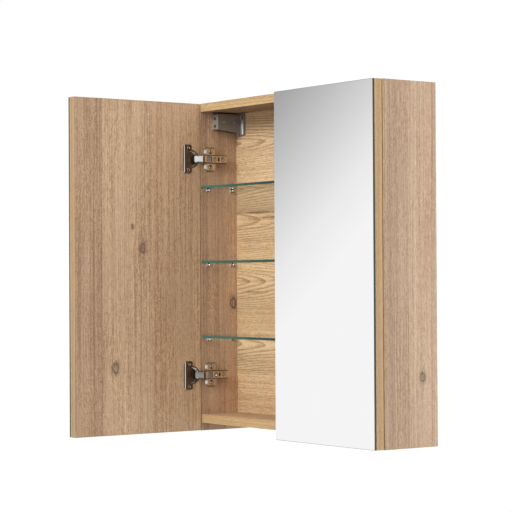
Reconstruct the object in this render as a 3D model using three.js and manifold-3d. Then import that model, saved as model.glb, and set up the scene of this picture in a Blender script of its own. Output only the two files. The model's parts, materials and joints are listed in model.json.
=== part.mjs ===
// Two-door mirror medicine cabinet for a bathroom wall, in millimetres, +Z up.
// The origin is the middle of the bottom panel's rear edge, on the wall plane, and the front faces -Y.
// The left door stands open by 90 degrees and the right door is closed.
import * as THREE from 'three';
import { mergeVertices } from 'three/addons/utils/BufferGeometryUtils.js';
import Module from 'manifold-3d';

const wasm = await Module();
wasm.setup();

// Driving dimensions of the carcass.
const WIDTH = 600;
const HEIGHT = 670;
const CARCASS_DEPTH = 127;
const BOARD = 17;
const BAND = 1;
const BOTTOM_RECESS = 16;
const BACK_INSET = 90;

// Doors.
const DOOR_REVEAL = 0.5;
const DOOR_MEETING_GAP = 3;
const DOOR_TO_CARCASS = 1.5;
const DOOR_GLUE = 0.2;
const MIRROR_GLUE = 0.5;
const MIRROR_GLASS = 4;
const LEFT_DOOR_REST_OPENING = 90;

// Glass shelves and the studs that carry them.
const SHELF_GLASS = 5;
const SHELF_END_GAP = 1;
const SHELF_FRONT_INSET = 1;
const SHELF_BACK_GAP = 1.5;
const LOWEST_SHELF_UNDERSIDE = 165;
const SHELF_PITCH = 153;
const SHELF_SEAT_GAP = 0.1;
const STUD = {
  radius: 3, reach: 9.5, chamfer: 0.7, collarRadius: 4, collar: 0.8, shankRadius: 2.5, shank: 9,
};
const STUD_HOLE = { radius: 2.9, depth: 10 };
const STUD_FRONT_INSET = 17;
const STUD_SPACING = 60;

// Concealed hinges. Their plan positions are for the left side with the door closed:
// x from the cabinet's outer side, y from the carcass front towards the wall.
const HINGE_FROM_DOOR_END = 113.5;
const CUP = { edge: 4, radius: 17.3, depth: 11.3, wall: 1.2, rim: 0.8, rimRadius: 18.4, boreGap: 0.3 };
const FLANGE = { start: 21.5, end: 42, halfHeight: 28.7, corner: 3.5, thickness: 2, seatGap: 0.2 };
const CUP_SCREW = { fromCentre: 8, pitch: 45, radius: 2.2 };
const ARM = { halfWidth: 8.4, sheet: 1.2, openX: 10, topX: 31.4, length: 57, roofStart: 0.5, pinHole: 1.25 };
const ARM_NOSE = [[18.5, 1.6], [18.8, -0.6], [21, -1.6], [27.4, -5.4], [29, -6.3], [30.6, -6.2], [31.4, -5]];
const ARM_HEEL = [[31.4, 55], [29.4, 57], [25, 57], [23.4, 50], [21.2, 14], [20.6, 3]];
const ARM_WINDOWS = [{ from: 7, to: 18, half: 5.2 }, { from: 33.8, to: 36.4, half: 4.5 }];
const ARM_SCREWS = { radius: 3, at: [26, 45] };
const PLATE = { wingStart: 10.5, wingEnd: 35, halfHeight: 24.3, corner: 5, thickness: 2.5 };
const PLATE_RIB = { top: 9, end: 52, halfWidth: 6, footHalfWidth: 6.6, foot: 2 };
const PLATE_SCREW = { radius: 3, offset: 16 };
const OUTER_PIVOT = { x: 30, y: -3.9 };
const OUTER_CUP_PIVOT = { x: 12.501, y: -3.205 };
const OUTER_BENDS = [[22, -7.6], [14.5, -6.6]];
const OUTER_TURN = 37.5;
const INNER_PIVOT = { x: 20.5, y: 0.8 };
const INNER_CUP_PIVOT = { x: 8.95, y: -3.074 };
const INNER_BENDS = [[17.4, -3], [11.6, -6.2]];
const INNER_TURN = 48.9;
const LINK_THICKNESS = 1.6;
const PIN = { radius: 0.9, inArm: 8.9, inCup: 7.4 };
const OUTER_LINK = { halfWidth: 5.6, bodyKnuckle: 1.6, cupKnuckle: 1 };
const INNER_LINK = { cheekInner: 5.9, cheekOuter: 6.9, bodyKnuckle: 1.6 };

// Cabinet hangers in the two upper rear corners.
const HANGER = { width: 20, front: 30, rear: 87, top: 625, frontBottom: 593, sheet: 1.4 };
const HANGER_FLANGE = { width: 33, bottom: 582.5, top: 625.5 };
const HANGER_FOOT = { front: 80, top: 587, bottom: 580 };
const HANGER_SCREW = { x: 9.5, heights: [600, 615.5], radius: 2.6 };
const HOOK = { from: 7.5, to: 12.5, tail: 46, bend: 84, throat: 120.5, tip: 124.5 };
const HOOK_LEVELS = { tail: 596, throat: 604, tip: 592, top: 616 };
const HOOK_SLOT = { margin: 2, bottom: 597, top: 622 };

const FLOOR_OF_SIDES = -(BOTTOM_RECESS + BOARD / 2);
const TOP_OF_SIDES = FLOOR_OF_SIDES + HEIGHT;
const DOOR_WIDTH = WIDTH / 2 - DOOR_REVEAL - DOOR_MEETING_GAP / 2;
const DOOR_BOTTOM = FLOOR_OF_SIDES + DOOR_REVEAL;
const DOOR_TOP = TOP_OF_SIDES - DOOR_REVEAL;
const DOOR_FACE = -DOOR_TO_CARCASS;
const DOOR_FRONT = DOOR_FACE - BOARD;
const CUP_X = DOOR_REVEAL + CUP.edge + CUP.radius;
const HINGE_HEIGHTS = {
  upper: DOOR_TOP - HINGE_FROM_DOOR_END,
  lower: DOOR_BOTTOM + HINGE_FROM_DOOR_END,
};
const SHELF_UNDERSIDES = {
  lower: LOWEST_SHELF_UNDERSIDE,
  middle: LOWEST_SHELF_UNDERSIDE + SHELF_PITCH,
  upper: LOWEST_SHELF_UNDERSIDE + 2 * SHELF_PITCH,
};
const STUD_ROWS = { front: STUD_FRONT_INSET, rear: STUD_FRONT_INSET + STUD_SPACING };

const OAK_SIDE = new THREE.MeshStandardMaterial({ color: 0xb18f6d, roughness: 0.6, metalness: 0 });
const OAK_EDGE = new THREE.MeshStandardMaterial({ color: 0xcfa873, roughness: 0.55, metalness: 0 });
const OAK_BACK = new THREE.MeshStandardMaterial({ color: 0xc39e70, roughness: 0.6, metalness: 0 });
const OAK_DOOR = new THREE.MeshStandardMaterial({ color: 0xaa8763, roughness: 0.6, metalness: 0 });
const MIRROR = new THREE.MeshStandardMaterial({ color: 0xe6ebea, roughness: 0.02, metalness: 1 });
const GLASS = new THREE.MeshStandardMaterial({ color: 0x5f9c86, roughness: 0.05, metalness: 0 });
const NICKEL = new THREE.MeshStandardMaterial({ color: 0xc4c0b8, roughness: 0.2, metalness: 1 });
const DARK_NICKEL = new THREE.MeshStandardMaterial({ color: 0x77726c, roughness: 0.35, metalness: 1 });

// How far a cutting tool runs past the face that it opens.
const PAST = 5;

const CYLINDER_SEGMENTS = 12;
const CUP_SEGMENTS = 40;
const CORNER_SEGMENTS = 3;
const WELD_DISTANCE = 1e-4;

// Booleans -----------------------------------------------------------------

function toSolid(geometry) {
  const bare = geometry.clone();
  bare.deleteAttribute('normal');
  bare.deleteAttribute('uv');
  const merged = mergeVertices(bare, WELD_DISTANCE);
  const mesh = new wasm.Mesh({
    numProp: 3,
    vertProperties: Float32Array.from(merged.attributes.position.array),
    triVerts: Uint32Array.from(merged.index.array),
  });
  return new wasm.Manifold(mesh);
}

function toGeometry(solid) {
  const { vertProperties, triVerts } = solid.getMesh();
  const geometry = new THREE.BufferGeometry();
  geometry.setAttribute('position', new THREE.BufferAttribute(vertProperties, 3));
  geometry.setIndex(new THREE.BufferAttribute(triVerts, 1));
  return geometry;
}

function join(first, ...others) {
  return toGeometry(others.reduce((sum, other) => sum.add(toSolid(other)), toSolid(first)));
}

function cut(first, ...tools) {
  return toGeometry(tools.reduce((rest, tool) => rest.subtract(toSolid(tool)), toSolid(first)));
}

// Geometry helpers ---------------------------------------------------------

// A box between two x, two y and two z planes.
function block([x0, x1], [y0, y1], [z0, z1]) {
  const geometry = new THREE.BoxGeometry(x1 - x0, y1 - y0, z1 - z0);
  return geometry.translate((x0 + x1) / 2, (y0 + y1) / 2, (z0 + z1) / 2);
}

function outline(points) {
  return new THREE.Shape(points.map(([u, v]) => new THREE.Vector2(u, v)));
}

// A plan outline (x, y) raised from z0 to z1.
function raise(shape, z0, z1) {
  const options = { depth: z1 - z0, bevelEnabled: false, curveSegments: CORNER_SEGMENTS };
  return new THREE.ExtrudeGeometry(shape, options).translate(0, 0, z0);
}

// An elevation outline (x, z) carried from y0 to y1.
function carryAlongY(shape, y0, y1) {
  const frame = new THREE.Matrix4().makeBasis(
    new THREE.Vector3(1, 0, 0), new THREE.Vector3(0, 0, 1), new THREE.Vector3(0, -1, 0));
  return raise(shape, -y1, -y0).applyMatrix4(frame);
}

// A side outline (y, z) carried from x0 to x1.
function carryAlongX(shape, x0, x1) {
  const frame = new THREE.Matrix4().makeBasis(
    new THREE.Vector3(0, 1, 0), new THREE.Vector3(0, 0, 1), new THREE.Vector3(1, 0, 0));
  return raise(shape, x0, x1).applyMatrix4(frame);
}

function roundAlongX(radius, x0, x1, y, z) {
  const geometry = new THREE.CylinderGeometry(radius, radius, x1 - x0, CYLINDER_SEGMENTS);
  return geometry.rotateZ(-Math.PI / 2).translate((x0 + x1) / 2, y, z);
}

function roundAlongY(radius, y0, y1, x, z, segments = CYLINDER_SEGMENTS) {
  const geometry = new THREE.CylinderGeometry(radius, radius, y1 - y0, segments);
  return geometry.translate(x, (y0 + y1) / 2, z);
}

function roundAlongZ(radius, halfLength, { x, y }) {
  const geometry = new THREE.CylinderGeometry(radius, radius, 2 * halfLength, CYLINDER_SEGMENTS);
  return geometry.rotateX(Math.PI / 2).translate(x, y, 0);
}

function roundedRectangle(x0, x1, z0, z1, r) {
  const shape = new THREE.Shape();
  shape.moveTo(x0 + r, z0);
  shape.lineTo(x1 - r, z0);
  shape.absarc(x1 - r, z0 + r, r, -Math.PI / 2, 0);
  shape.lineTo(x1, z1 - r);
  shape.absarc(x1 - r, z1 - r, r, 0, Math.PI / 2);
  shape.lineTo(x0 + r, z1);
  shape.absarc(x0 + r, z1 - r, r, Math.PI / 2, Math.PI);
  shape.lineTo(x0, z0 + r);
  shape.absarc(x0 + r, z0 + r, r, Math.PI, 1.5 * Math.PI);
  return shape;
}

// The plan outline of a bent strap of even thickness through the given points.
function strapOutline(points, thickness) {
  const side = (sign) => points.map((point, i) => {
    const before = points[Math.max(i - 1, 0)];
    const after = points[Math.min(i + 1, points.length - 1)];
    const along = new THREE.Vector2(after[0] - before[0], after[1] - before[1]).normalize();
    return [point[0] - sign * along.y * thickness / 2, point[1] + sign * along.x * thickness / 2];
  });
  return outline([...side(-1), ...side(1).reverse()]);
}

function mirrorX(geometry) {
  const mirrored = geometry.clone().scale(-1, 1, 1);
  if (!mirrored.index) {
    mirrored.setIndex([...Array(mirrored.attributes.position.count).keys()]);
  }
  const index = mirrored.index.array;
  for (let i = 0; i < index.length; i += 3) {
    [index[i], index[i + 1]] = [index[i + 1], index[i]];
  }
  return mirrored;
}

// The assembly ---------------------------------------------------------------

const cabinet = new THREE.Group();

function addPiece(parent, name, geometry, material) {
  const mesh = new THREE.Mesh(geometry, material);
  mesh.name = name;
  parent.add(mesh);
}

// A side frame measures x inwards from that side's outer face and y back from the carcass front.
// Right-hand pieces are mirror images of the left-hand ones.
function sideFrame(hand) {
  const isLeft = hand === 'left';
  const group = new THREE.Group();
  group.position.set(isLeft ? -WIDTH / 2 : WIDTH / 2, -CARCASS_DEPTH, 0);
  cabinet.add(group);
  const handed = (geometry) => (isLeft ? geometry : mirrorX(geometry));
  return {
    hand,
    group,
    add: (parent, name, geometry, material) => addPiece(parent, name, handed(geometry), material),
    // A group turned about an upright axis at the given plan point; only the left door stands open.
    turned: (pivot, degrees, parent) => {
      const turning = new THREE.Group();
      turning.position.set(isLeft ? pivot.x : -pivot.x, pivot.y, 0);
      turning.rotation.z = isLeft ? THREE.MathUtils.degToRad(degrees * LEFT_DOOR_REST_OPENING / 90) : 0;
      const back = new THREE.Group();
      back.position.set(isLeft ? -pivot.x : pivot.x, -pivot.y, 0);
      turning.add(back);
      parent.add(turning);
      return back;
    },
  };
}

// Carcass --------------------------------------------------------------------

function sidePanel() {
  const board = block([0, BOARD], [BAND, CARCASS_DEPTH], [FLOOR_OF_SIDES, TOP_OF_SIDES]);
  const holes = [];
  for (const underside of Object.values(SHELF_UNDERSIDES)) {
    for (const inset of Object.values(STUD_ROWS)) {
      const height = underside - SHELF_SEAT_GAP - STUD.radius;
      holes.push(roundAlongX(STUD_HOLE.radius, BOARD - STUD_HOLE.depth, BOARD + PAST, inset, height));
    }
  }
  return cut(board, ...holes);
}

function addCarcass(left, right) {
  const between = [-WIDTH / 2 + BOARD, WIDTH / 2 - BOARD];
  const bandDepth = [-CARCASS_DEPTH, -CARCASS_DEPTH + BAND];
  const boardDepth = [-CARCASS_DEPTH + BAND, 0];
  for (const side of [left, right]) {
    const band = block([0, BOARD], [0, BAND], [FLOOR_OF_SIDES, TOP_OF_SIDES]);
    side.add(side.group, `${side.hand}_side_panel`, sidePanel(), OAK_SIDE);
    side.add(side.group, `${side.hand}_side_edge_band`, band, OAK_EDGE);
  }
  const levels = { top: [TOP_OF_SIDES - BOARD, TOP_OF_SIDES], bottom: [-BOARD / 2, BOARD / 2] };
  for (const [name, level] of Object.entries(levels)) {
    addPiece(cabinet, `${name}_panel`, block(between, boardDepth, level), OAK_SIDE);
    addPiece(cabinet, `${name}_edge_band`, block(between, bandDepth, level), OAK_EDGE);
  }
  const backFront = BACK_INSET - CARCASS_DEPTH;
  const board = block(between, [backFront, backFront + BOARD], [BOARD / 2, TOP_OF_SIDES - BOARD]);
  const slotX = [between[0] + HOOK.from - HOOK_SLOT.margin, between[0] + HOOK.to + HOOK_SLOT.margin];
  const slotZ = [HOOK_SLOT.bottom, HOOK_SLOT.top];
  const slot = block(slotX, [backFront - PAST, backFront + BOARD + PAST], slotZ);
  addPiece(cabinet, 'back_panel', cut(board, slot, mirrorX(slot)), OAK_BACK);
}

// Shelves --------------------------------------------------------------------

// Turned stud: a shank in the side panel, a thin collar and the part that the glass rests on.
function shelfStud(inset, height) {
  const { radius, reach, chamfer, collarRadius, collar, shankRadius, shank } = STUD;
  const profile = [
    [0, -shank], [shankRadius, -shank], [shankRadius, 0], [collarRadius, 0], [collarRadius, collar],
    [radius, collar], [radius, reach - chamfer], [radius - chamfer, reach], [0, reach],
  ];
  const points = profile.map(([r, along]) => new THREE.Vector2(r, along));
  const stud = new THREE.LatheGeometry(points, CYLINDER_SEGMENTS);
  return stud.rotateZ(-Math.PI / 2).translate(BOARD, inset, height);
}

function addShelves(left, right) {
  const reachX = WIDTH / 2 - BOARD - SHELF_END_GAP;
  const depth = [SHELF_FRONT_INSET - CARCASS_DEPTH, BACK_INSET - SHELF_BACK_GAP - CARCASS_DEPTH];
  for (const [level, underside] of Object.entries(SHELF_UNDERSIDES)) {
    const glass = block([-reachX, reachX], depth, [underside, underside + SHELF_GLASS]);
    addPiece(cabinet, `${level}_glass_shelf`, glass, GLASS);
    const height = underside - SHELF_SEAT_GAP - STUD.radius;
    for (const side of [left, right]) {
      for (const [row, inset] of Object.entries(STUD_ROWS)) {
        const name = `${level}_shelf_pin_${side.hand}_${row}`;
        side.add(side.group, name, shelfStud(inset, height), NICKEL);
      }
    }
  }
}

// Doors ----------------------------------------------------------------------

function doorPanel() {
  const inset = BAND + DOOR_GLUE;
  const x = [DOOR_REVEAL + inset, DOOR_REVEAL + DOOR_WIDTH - inset];
  const board = block(x, [DOOR_FRONT, DOOR_FACE], [DOOR_BOTTOM + inset, DOOR_TOP - inset]);
  const boreRadius = CUP.radius + CUP.boreGap;
  const boreFloor = DOOR_FACE - CUP.depth - CUP.boreGap;
  const bores = Object.values(HINGE_HEIGHTS).map(
    (height) => roundAlongY(boreRadius, boreFloor, DOOR_FACE + PAST, CUP_X, height, CUP_SEGMENTS));
  return cut(board, ...bores);
}

function doorBand() {
  const x = [DOOR_REVEAL, DOOR_REVEAL + DOOR_WIDTH];
  const outer = block(x, [DOOR_FRONT, DOOR_FACE], [DOOR_BOTTOM, DOOR_TOP]);
  const inner = block([x[0] + BAND, x[1] - BAND], [DOOR_FRONT - PAST, DOOR_FACE + PAST],
    [DOOR_BOTTOM + BAND, DOOR_TOP - BAND]);
  return cut(outer, inner);
}

function doorMirror() {
  const back = DOOR_FRONT - MIRROR_GLUE;
  const x = [DOOR_REVEAL, DOOR_REVEAL + DOOR_WIDTH];
  return block(x, [back - MIRROR_GLASS, back], [DOOR_BOTTOM, DOOR_TOP]);
}

// Plan point about which the whole door would turn by 90 degrees, from the two ends of the outer link.
function doorPole() {
  const start = new THREE.Vector2(OUTER_CUP_PIVOT.x, OUTER_CUP_PIVOT.y);
  const pivot = new THREE.Vector2(OUTER_PIVOT.x, OUTER_PIVOT.y);
  const end = start.clone().rotateAround(pivot, THREE.MathUtils.degToRad(OUTER_TURN));
  return {
    x: (start.x + end.x - start.y + end.y) / 2,
    y: (start.y + end.y + start.x - end.x) / 2,
  };
}

function addDoor(side) {
  const frame = side.turned(doorPole(), -90, side.group);
  side.add(frame, `${side.hand}_door_panel`, doorPanel(), OAK_DOOR);
  side.add(frame, `${side.hand}_door_edge_band`, doorBand(), OAK_EDGE);
  side.add(frame, `${side.hand}_door_mirror`, doorMirror(), MIRROR);
  return frame;
}

// Hinges: each is drawn around its own height, with z = 0 in its middle ----------------

// A pressed cup let into the door, with a flange on the side away from the hinge edge.
function hingeCup() {
  const seat = DOOR_FACE + FLANGE.seatGap;
  const body = roundAlongY(CUP.radius, DOOR_FACE - CUP.depth, seat, CUP_X, 0, CUP_SEGMENTS);
  const rim = roundAlongY(CUP.rimRadius, seat, DOOR_FACE + CUP.rim, CUP_X, 0, CUP_SEGMENTS);
  const flangeX = [DOOR_REVEAL + FLANGE.start, DOOR_REVEAL + FLANGE.end];
  const flangeShape = roundedRectangle(...flangeX, -FLANGE.halfHeight, FLANGE.halfHeight, FLANGE.corner);
  const flange = carryAlongY(flangeShape, seat, DOOR_FACE + FLANGE.thickness);
  const cavityRadius = CUP.radius - CUP.wall;
  const cavityFloor = DOOR_FACE - CUP.depth + CUP.wall;
  const cavity = roundAlongY(cavityRadius, cavityFloor, DOOR_FACE + PAST, CUP_X, 0, CUP_SEGMENTS);
  const screwX = CUP_X + CUP_SCREW.fromCentre;
  const screwHoles = [-1, 1].map((sign) => roundAlongY(
    CUP_SCREW.radius, seat - PAST, DOOR_FACE + PAST, screwX, sign * CUP_SCREW.pitch / 2));
  return cut(join(body, rim, flange), cavity, ...screwHoles);
}

// A folded channel, open towards the side panel, that carries both link pivots at its nose.
function hingeArm() {
  const { halfWidth, sheet, openX, topX, length, roofStart, pinHole } = ARM;
  const slab = raise(outline([...ARM_NOSE, ...ARM_HEEL]), -halfWidth, halfWidth);
  const inner = halfWidth - sheet;
  const channel = block([openX, topX - sheet], [roofStart, length + PAST], [-inner, inner]);
  const nose = block([openX, topX + PAST], [-2 * PAST, roofStart + sheet / 2], [-inner, inner]);
  const roof = [topX - 2 * sheet, topX + PAST];
  const windows = ARM_WINDOWS.map(({ from, to, half }) => block(roof, [from, to], [-half, half]));
  const screwHoles = ARM_SCREWS.at.map((y) => roundAlongX(ARM_SCREWS.radius, ...roof, y, 0));
  const pinHoles = [OUTER_PIVOT, INNER_PIVOT].map((pivot) => roundAlongZ(pinHole, halfWidth + PAST, pivot));
  return cut(slab, channel, nose, ...windows, ...screwHoles, ...pinHoles);
}

// A cross-shaped plate screwed to the side panel, with the rib that the arm sits over.
function hingePlate() {
  const { wingStart, wingEnd, halfHeight, corner, thickness } = PLATE;
  const { top, end, halfWidth, footHalfWidth, foot } = PLATE_RIB;
  const wings = carryAlongX(
    roundedRectangle(wingStart, wingEnd, -halfHeight, halfHeight, corner), BOARD, BOARD + thickness);
  const spine = block(
    [BOARD, BOARD + thickness], [wingStart - foot, end + foot], [-footHalfWidth, footHalfWidth]);
  const rib = block([BOARD, BOARD + top], [wingStart, end], [-halfWidth, halfWidth]);
  const middle = (wingStart + wingEnd) / 2;
  const screwHoles = [-1, 1].map((sign) => roundAlongX(
    PLATE_SCREW.radius, BOARD - PAST, BOARD + thickness + PAST, middle, sign * PLATE_SCREW.offset));
  return cut(join(wings, spine, rib), ...screwHoles);
}

// A bent strap with a pin through the arm at one end and an eye in the cup at the other.
function outerLink() {
  const { halfWidth, bodyKnuckle, cupKnuckle } = OUTER_LINK;
  const path = [
    [OUTER_PIVOT.x, OUTER_PIVOT.y], ...OUTER_BENDS, [OUTER_CUP_PIVOT.x, OUTER_CUP_PIVOT.y],
  ];
  return join(
    raise(strapOutline(path, LINK_THICKNESS), -halfWidth, halfWidth),
    roundAlongZ(bodyKnuckle, halfWidth, OUTER_PIVOT),
    roundAlongZ(cupKnuckle, halfWidth, OUTER_CUP_PIVOT),
    roundAlongZ(PIN.radius, PIN.inArm, OUTER_PIVOT));
}

// A yoke whose two cheeks pass either side of the outer link.
function innerLink() {
  const { cheekInner, cheekOuter, bodyKnuckle } = INNER_LINK;
  const path = [
    [INNER_PIVOT.x, INNER_PIVOT.y], ...INNER_BENDS, [INNER_CUP_PIVOT.x, INNER_CUP_PIVOT.y],
  ];
  const strap = strapOutline(path, LINK_THICKNESS);
  return join(
    raise(strap, cheekInner, cheekOuter),
    raise(strap, -cheekOuter, -cheekInner),
    roundAlongZ(bodyKnuckle, cheekOuter, INNER_PIVOT),
    roundAlongZ(PIN.radius, PIN.inArm, INNER_PIVOT),
    roundAlongZ(PIN.radius, PIN.inCup, INNER_CUP_PIVOT));
}

function addHinges(side, doorFrame) {
  const outerFrame = side.turned(OUTER_PIVOT, OUTER_TURN, side.group);
  const innerFrame = side.turned(INNER_PIVOT, INNER_TURN, side.group);
  for (const [level, height] of Object.entries(HINGE_HEIGHTS)) {
    const name = `${side.hand}_${level}_hinge`;
    side.add(doorFrame, `${name}_cup`, hingeCup().translate(0, 0, height), NICKEL);
    side.add(side.group, `${name}_arm`, hingeArm().translate(0, 0, height), NICKEL);
    side.add(side.group, `${name}_plate`, hingePlate().translate(0, 0, height), NICKEL);
    side.add(outerFrame, `${name}_outer_link`, outerLink().translate(0, 0, height), NICKEL);
    side.add(innerFrame, `${name}_inner_link`, innerLink().translate(0, 0, height), NICKEL);
  }
}

// Hangers ----------------------------------------------------------------------

// A folded steel case on the side panel, open towards the panel and the back, with a flange on the back.
function hangerHousing() {
  const { width, front, rear, top, frontBottom, sheet } = HANGER;
  const inside = BOARD + width;
  const shell = carryAlongX(outline([
    [front, frontBottom], [HANGER_FOOT.front, HANGER_FOOT.top], [HANGER_FOOT.front, HANGER_FOOT.bottom],
    [rear, HANGER_FOOT.bottom], [rear, top], [front, top],
  ]), BOARD, inside);
  const hollow = carryAlongX(outline([
    [front + sheet, frontBottom + sheet], [HANGER_FOOT.front, HANGER_FOOT.top + sheet],
    [HANGER_FOOT.front, HANGER_FOOT.bottom - PAST], [rear + PAST, HANGER_FOOT.bottom - PAST],
    [rear + PAST, top - sheet], [front + sheet, top - sheet],
  ]), BOARD - PAST, inside - sheet);
  const flangeX = [BOARD, BOARD + HANGER_FLANGE.width];
  const flangeZ = [HANGER_FLANGE.bottom, HANGER_FLANGE.top];
  const flange = block(flangeX, [rear, BACK_INSET], flangeZ);
  const screwHoles = HANGER_SCREW.heights.map((height) => roundAlongY(
    HANGER_SCREW.radius, front - PAST, front + sheet + PAST, BOARD + HANGER_SCREW.x, height));
  return cut(join(shell, flange), hollow, ...screwHoles);
}

// A flat hook that slides up and down in its case and reaches through the back to a wall rail.
function hangerHook() {
  const { from, to, tail, bend, throat, tip } = HOOK;
  const level = HOOK_LEVELS;
  const profile = outline([
    [tail, level.tail], [bend, level.tail], [bend, level.throat], [throat, level.throat],
    [throat, level.tip], [tip, level.tip], [tip, level.top], [tail, level.top],
  ]);
  return carryAlongX(profile, BOARD + from, BOARD + to);
}

function addHanger(side) {
  side.add(side.group, `${side.hand}_hanger_housing`, hangerHousing(), DARK_NICKEL);
  side.add(side.group, `${side.hand}_hanger_hook`, hangerHook(), DARK_NICKEL);
}

const left = sideFrame('left');
const right = sideFrame('right');
addCarcass(left, right);
addShelves(left, right);
for (const side of [left, right]) {
  addHinges(side, addDoor(side));
  addHanger(side);
}

export default cabinet;
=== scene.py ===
"""Looks of the two-door mirror cabinet: oak board, mirror, glass and nickel, and the small fittings."""
import json
import math

import bmesh
import bpy
from mathutils import Matrix, Vector

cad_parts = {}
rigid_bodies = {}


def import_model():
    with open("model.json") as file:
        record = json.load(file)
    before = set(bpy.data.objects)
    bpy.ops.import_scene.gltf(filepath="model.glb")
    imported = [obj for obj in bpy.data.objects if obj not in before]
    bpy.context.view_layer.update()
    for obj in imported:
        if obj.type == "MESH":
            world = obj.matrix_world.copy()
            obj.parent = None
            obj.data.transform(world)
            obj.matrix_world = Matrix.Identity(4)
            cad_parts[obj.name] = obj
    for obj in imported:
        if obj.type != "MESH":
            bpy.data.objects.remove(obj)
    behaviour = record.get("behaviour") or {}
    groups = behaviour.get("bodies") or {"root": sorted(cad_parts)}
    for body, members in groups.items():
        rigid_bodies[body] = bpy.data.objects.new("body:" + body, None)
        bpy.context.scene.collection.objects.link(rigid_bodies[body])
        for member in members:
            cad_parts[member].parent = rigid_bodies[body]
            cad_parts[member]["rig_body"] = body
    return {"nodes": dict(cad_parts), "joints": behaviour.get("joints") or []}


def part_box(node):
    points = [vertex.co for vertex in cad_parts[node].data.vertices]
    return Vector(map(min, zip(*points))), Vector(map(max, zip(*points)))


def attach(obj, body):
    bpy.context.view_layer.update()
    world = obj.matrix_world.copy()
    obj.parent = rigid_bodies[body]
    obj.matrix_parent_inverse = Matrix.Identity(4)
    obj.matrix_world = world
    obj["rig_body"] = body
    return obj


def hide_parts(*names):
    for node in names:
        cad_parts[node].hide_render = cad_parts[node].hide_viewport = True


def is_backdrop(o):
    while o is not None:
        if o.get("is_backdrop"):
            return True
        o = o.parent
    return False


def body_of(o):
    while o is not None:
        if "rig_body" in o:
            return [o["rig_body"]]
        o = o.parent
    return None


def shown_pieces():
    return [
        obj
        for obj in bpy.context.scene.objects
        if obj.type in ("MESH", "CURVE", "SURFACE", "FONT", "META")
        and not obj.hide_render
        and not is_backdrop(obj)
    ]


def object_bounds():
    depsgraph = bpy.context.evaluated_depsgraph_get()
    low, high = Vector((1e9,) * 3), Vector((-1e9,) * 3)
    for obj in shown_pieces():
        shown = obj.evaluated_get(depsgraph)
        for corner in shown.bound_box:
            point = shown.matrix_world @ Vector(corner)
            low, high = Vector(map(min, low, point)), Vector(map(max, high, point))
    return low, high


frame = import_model()
cad_low, cad_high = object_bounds()

MM = 0.001
X, Y, Z = 0, 1, 2
ALONG_X = Vector((1.0, 0.0, 0.0))
ALONG_Y = Vector((0.0, 1.0, 0.0))
UP = Vector((0.0, 0.0, 1.0))
HANDS = ("left", "right")
LEVELS = ("upper", "lower")
SHELVES = ("upper", "middle", "lower")

# The camera looks across the open left door into the cabinet, level with its lower half.
CAMERA_PLACE = (2.9077, -2.3027, 0.2828)
CAMERA_TURN = 54.039
CAMERA_TILT = 0.7346
CAMERA_ROLL = -0.309
CAMERA_LENS = 132.33

# The stage, in metres: drops are measured down from the cabinet's lowest point.
FLOOR_DROP = 1.2
FLOOR_RADIUS = 7.6
REFLECTOR = {"radius": 3.2, "half_height": 3.0, "slope": (0.740, -1.020), "run": (1.101, 0.858)}
UNDER_CARD = {"drop": 0.35, "radius": 0.55}
FRONT_CARD = {"x": (-1.2, 2.0), "y": -1.7, "z": (-0.5, 0.85)}
SKY = {"From Min": 0.22, "From Max": 0.9, "To Min": 1.02, "To Max": 3.2}
KEY = {"place": (0.6, -2.6, 1.7), "size": 1.0, "power": 44.0}

# Hinge and hanger details, in millimetres, measured from the edges of the CAD nodes that carry them.
FLANGE_SCREW_IN = 12.7
FLANGE_SCREW_PITCH = 45.0
ARM_NOSE = 6.3
ARM_SHEET = 1.2
ARM_SCREWS_AT = (26.0, 45.0)
ARM_SCREW_SUNK = 1.6
DAMPER = {"from": 7.4, "to": 17.6, "half": 4.9, "depth": 4.2, "ribs": 4}
PLATE_SCREW = {"at": 22.75, "half_pitch": 16.0, "wing": 2.5}
LIP = {"width": 3.0, "length": 56.0, "foot": 2.0}
BEAD = {"in": 20.7, "inner": 17.0, "outer": 17.9, "height": 0.5, "half_angle": 58}
# A black block sunk in each arm's slot paints the shade in the slot.
PAINTED_SLOT_SHADE = {"at": 35.1, "half": 3.6, "sunk": 1.1}
WING_LIP = {"at": 15.5, "length": 7.5, "in": 0.9}
SCREW_SEAT = ((3.75, -0.1), (4.9, -0.1), (4.9, 0.1), (4.7, 0.2), (3.95, 0.2), (3.75, 0.1), (3.75, -0.1))
STUD = {"radius": 3.0, "length": 9.5}
PIVOT_HEAD = {"radius": 1.75, "height": 0.75, "gap": 0.06}
ARM_HALF = 8.4
HANGER_WIDTH = 20.0
HANGER_HOLES = {"in": 9.5, "heights": (20.0, 35.5), "sunk": 3.4}
# A black collar at the mouth of each hanger hole paints the shade in the hole.
HANGER_PAINTED_HOLE_SHADE = ((2.5, -0.3), (3.1, -0.1), (3.1, 0.1), (2.95, 0.2), (2.65, 0.2), (2.5, 0.1), (2.5, -0.3))
HANGER_FLANGE = {"in": 27.0, "thick": 3.0, "screw_down": 6.0, "bead_down": 26.5}
HANGER_MARKS = {"back": (15.0, 41.0), "down": 17.0}
GLUE = {"inset": 4.0, "near": 0.05, "far": 0.45}

# Screw heads, as radius, height and reach of the cross recess, in millimetres.
SCREWS = {
    "cup": (3.4, 1.3, 1.9), "arm": (2.75, 1.1, 1.9), "plate": (3.7, 1.6, 2.3),
    "hanger": (2.55, 0.9, 1.6), "flange": (2.2, 0.8, 1.3)}

# How far the edges of each kind of part are eased, in millimetres.
EASED = {
    "side": 0.35, "board": 0.3, "mirror": 0.8, "shelf": 0.5, "cup": 0.35, "arm": 0.4, "plate": 0.8,
    "link": 0.35, "hanger": 0.4}


# Colours --------------------------------------------------------------------

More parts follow.
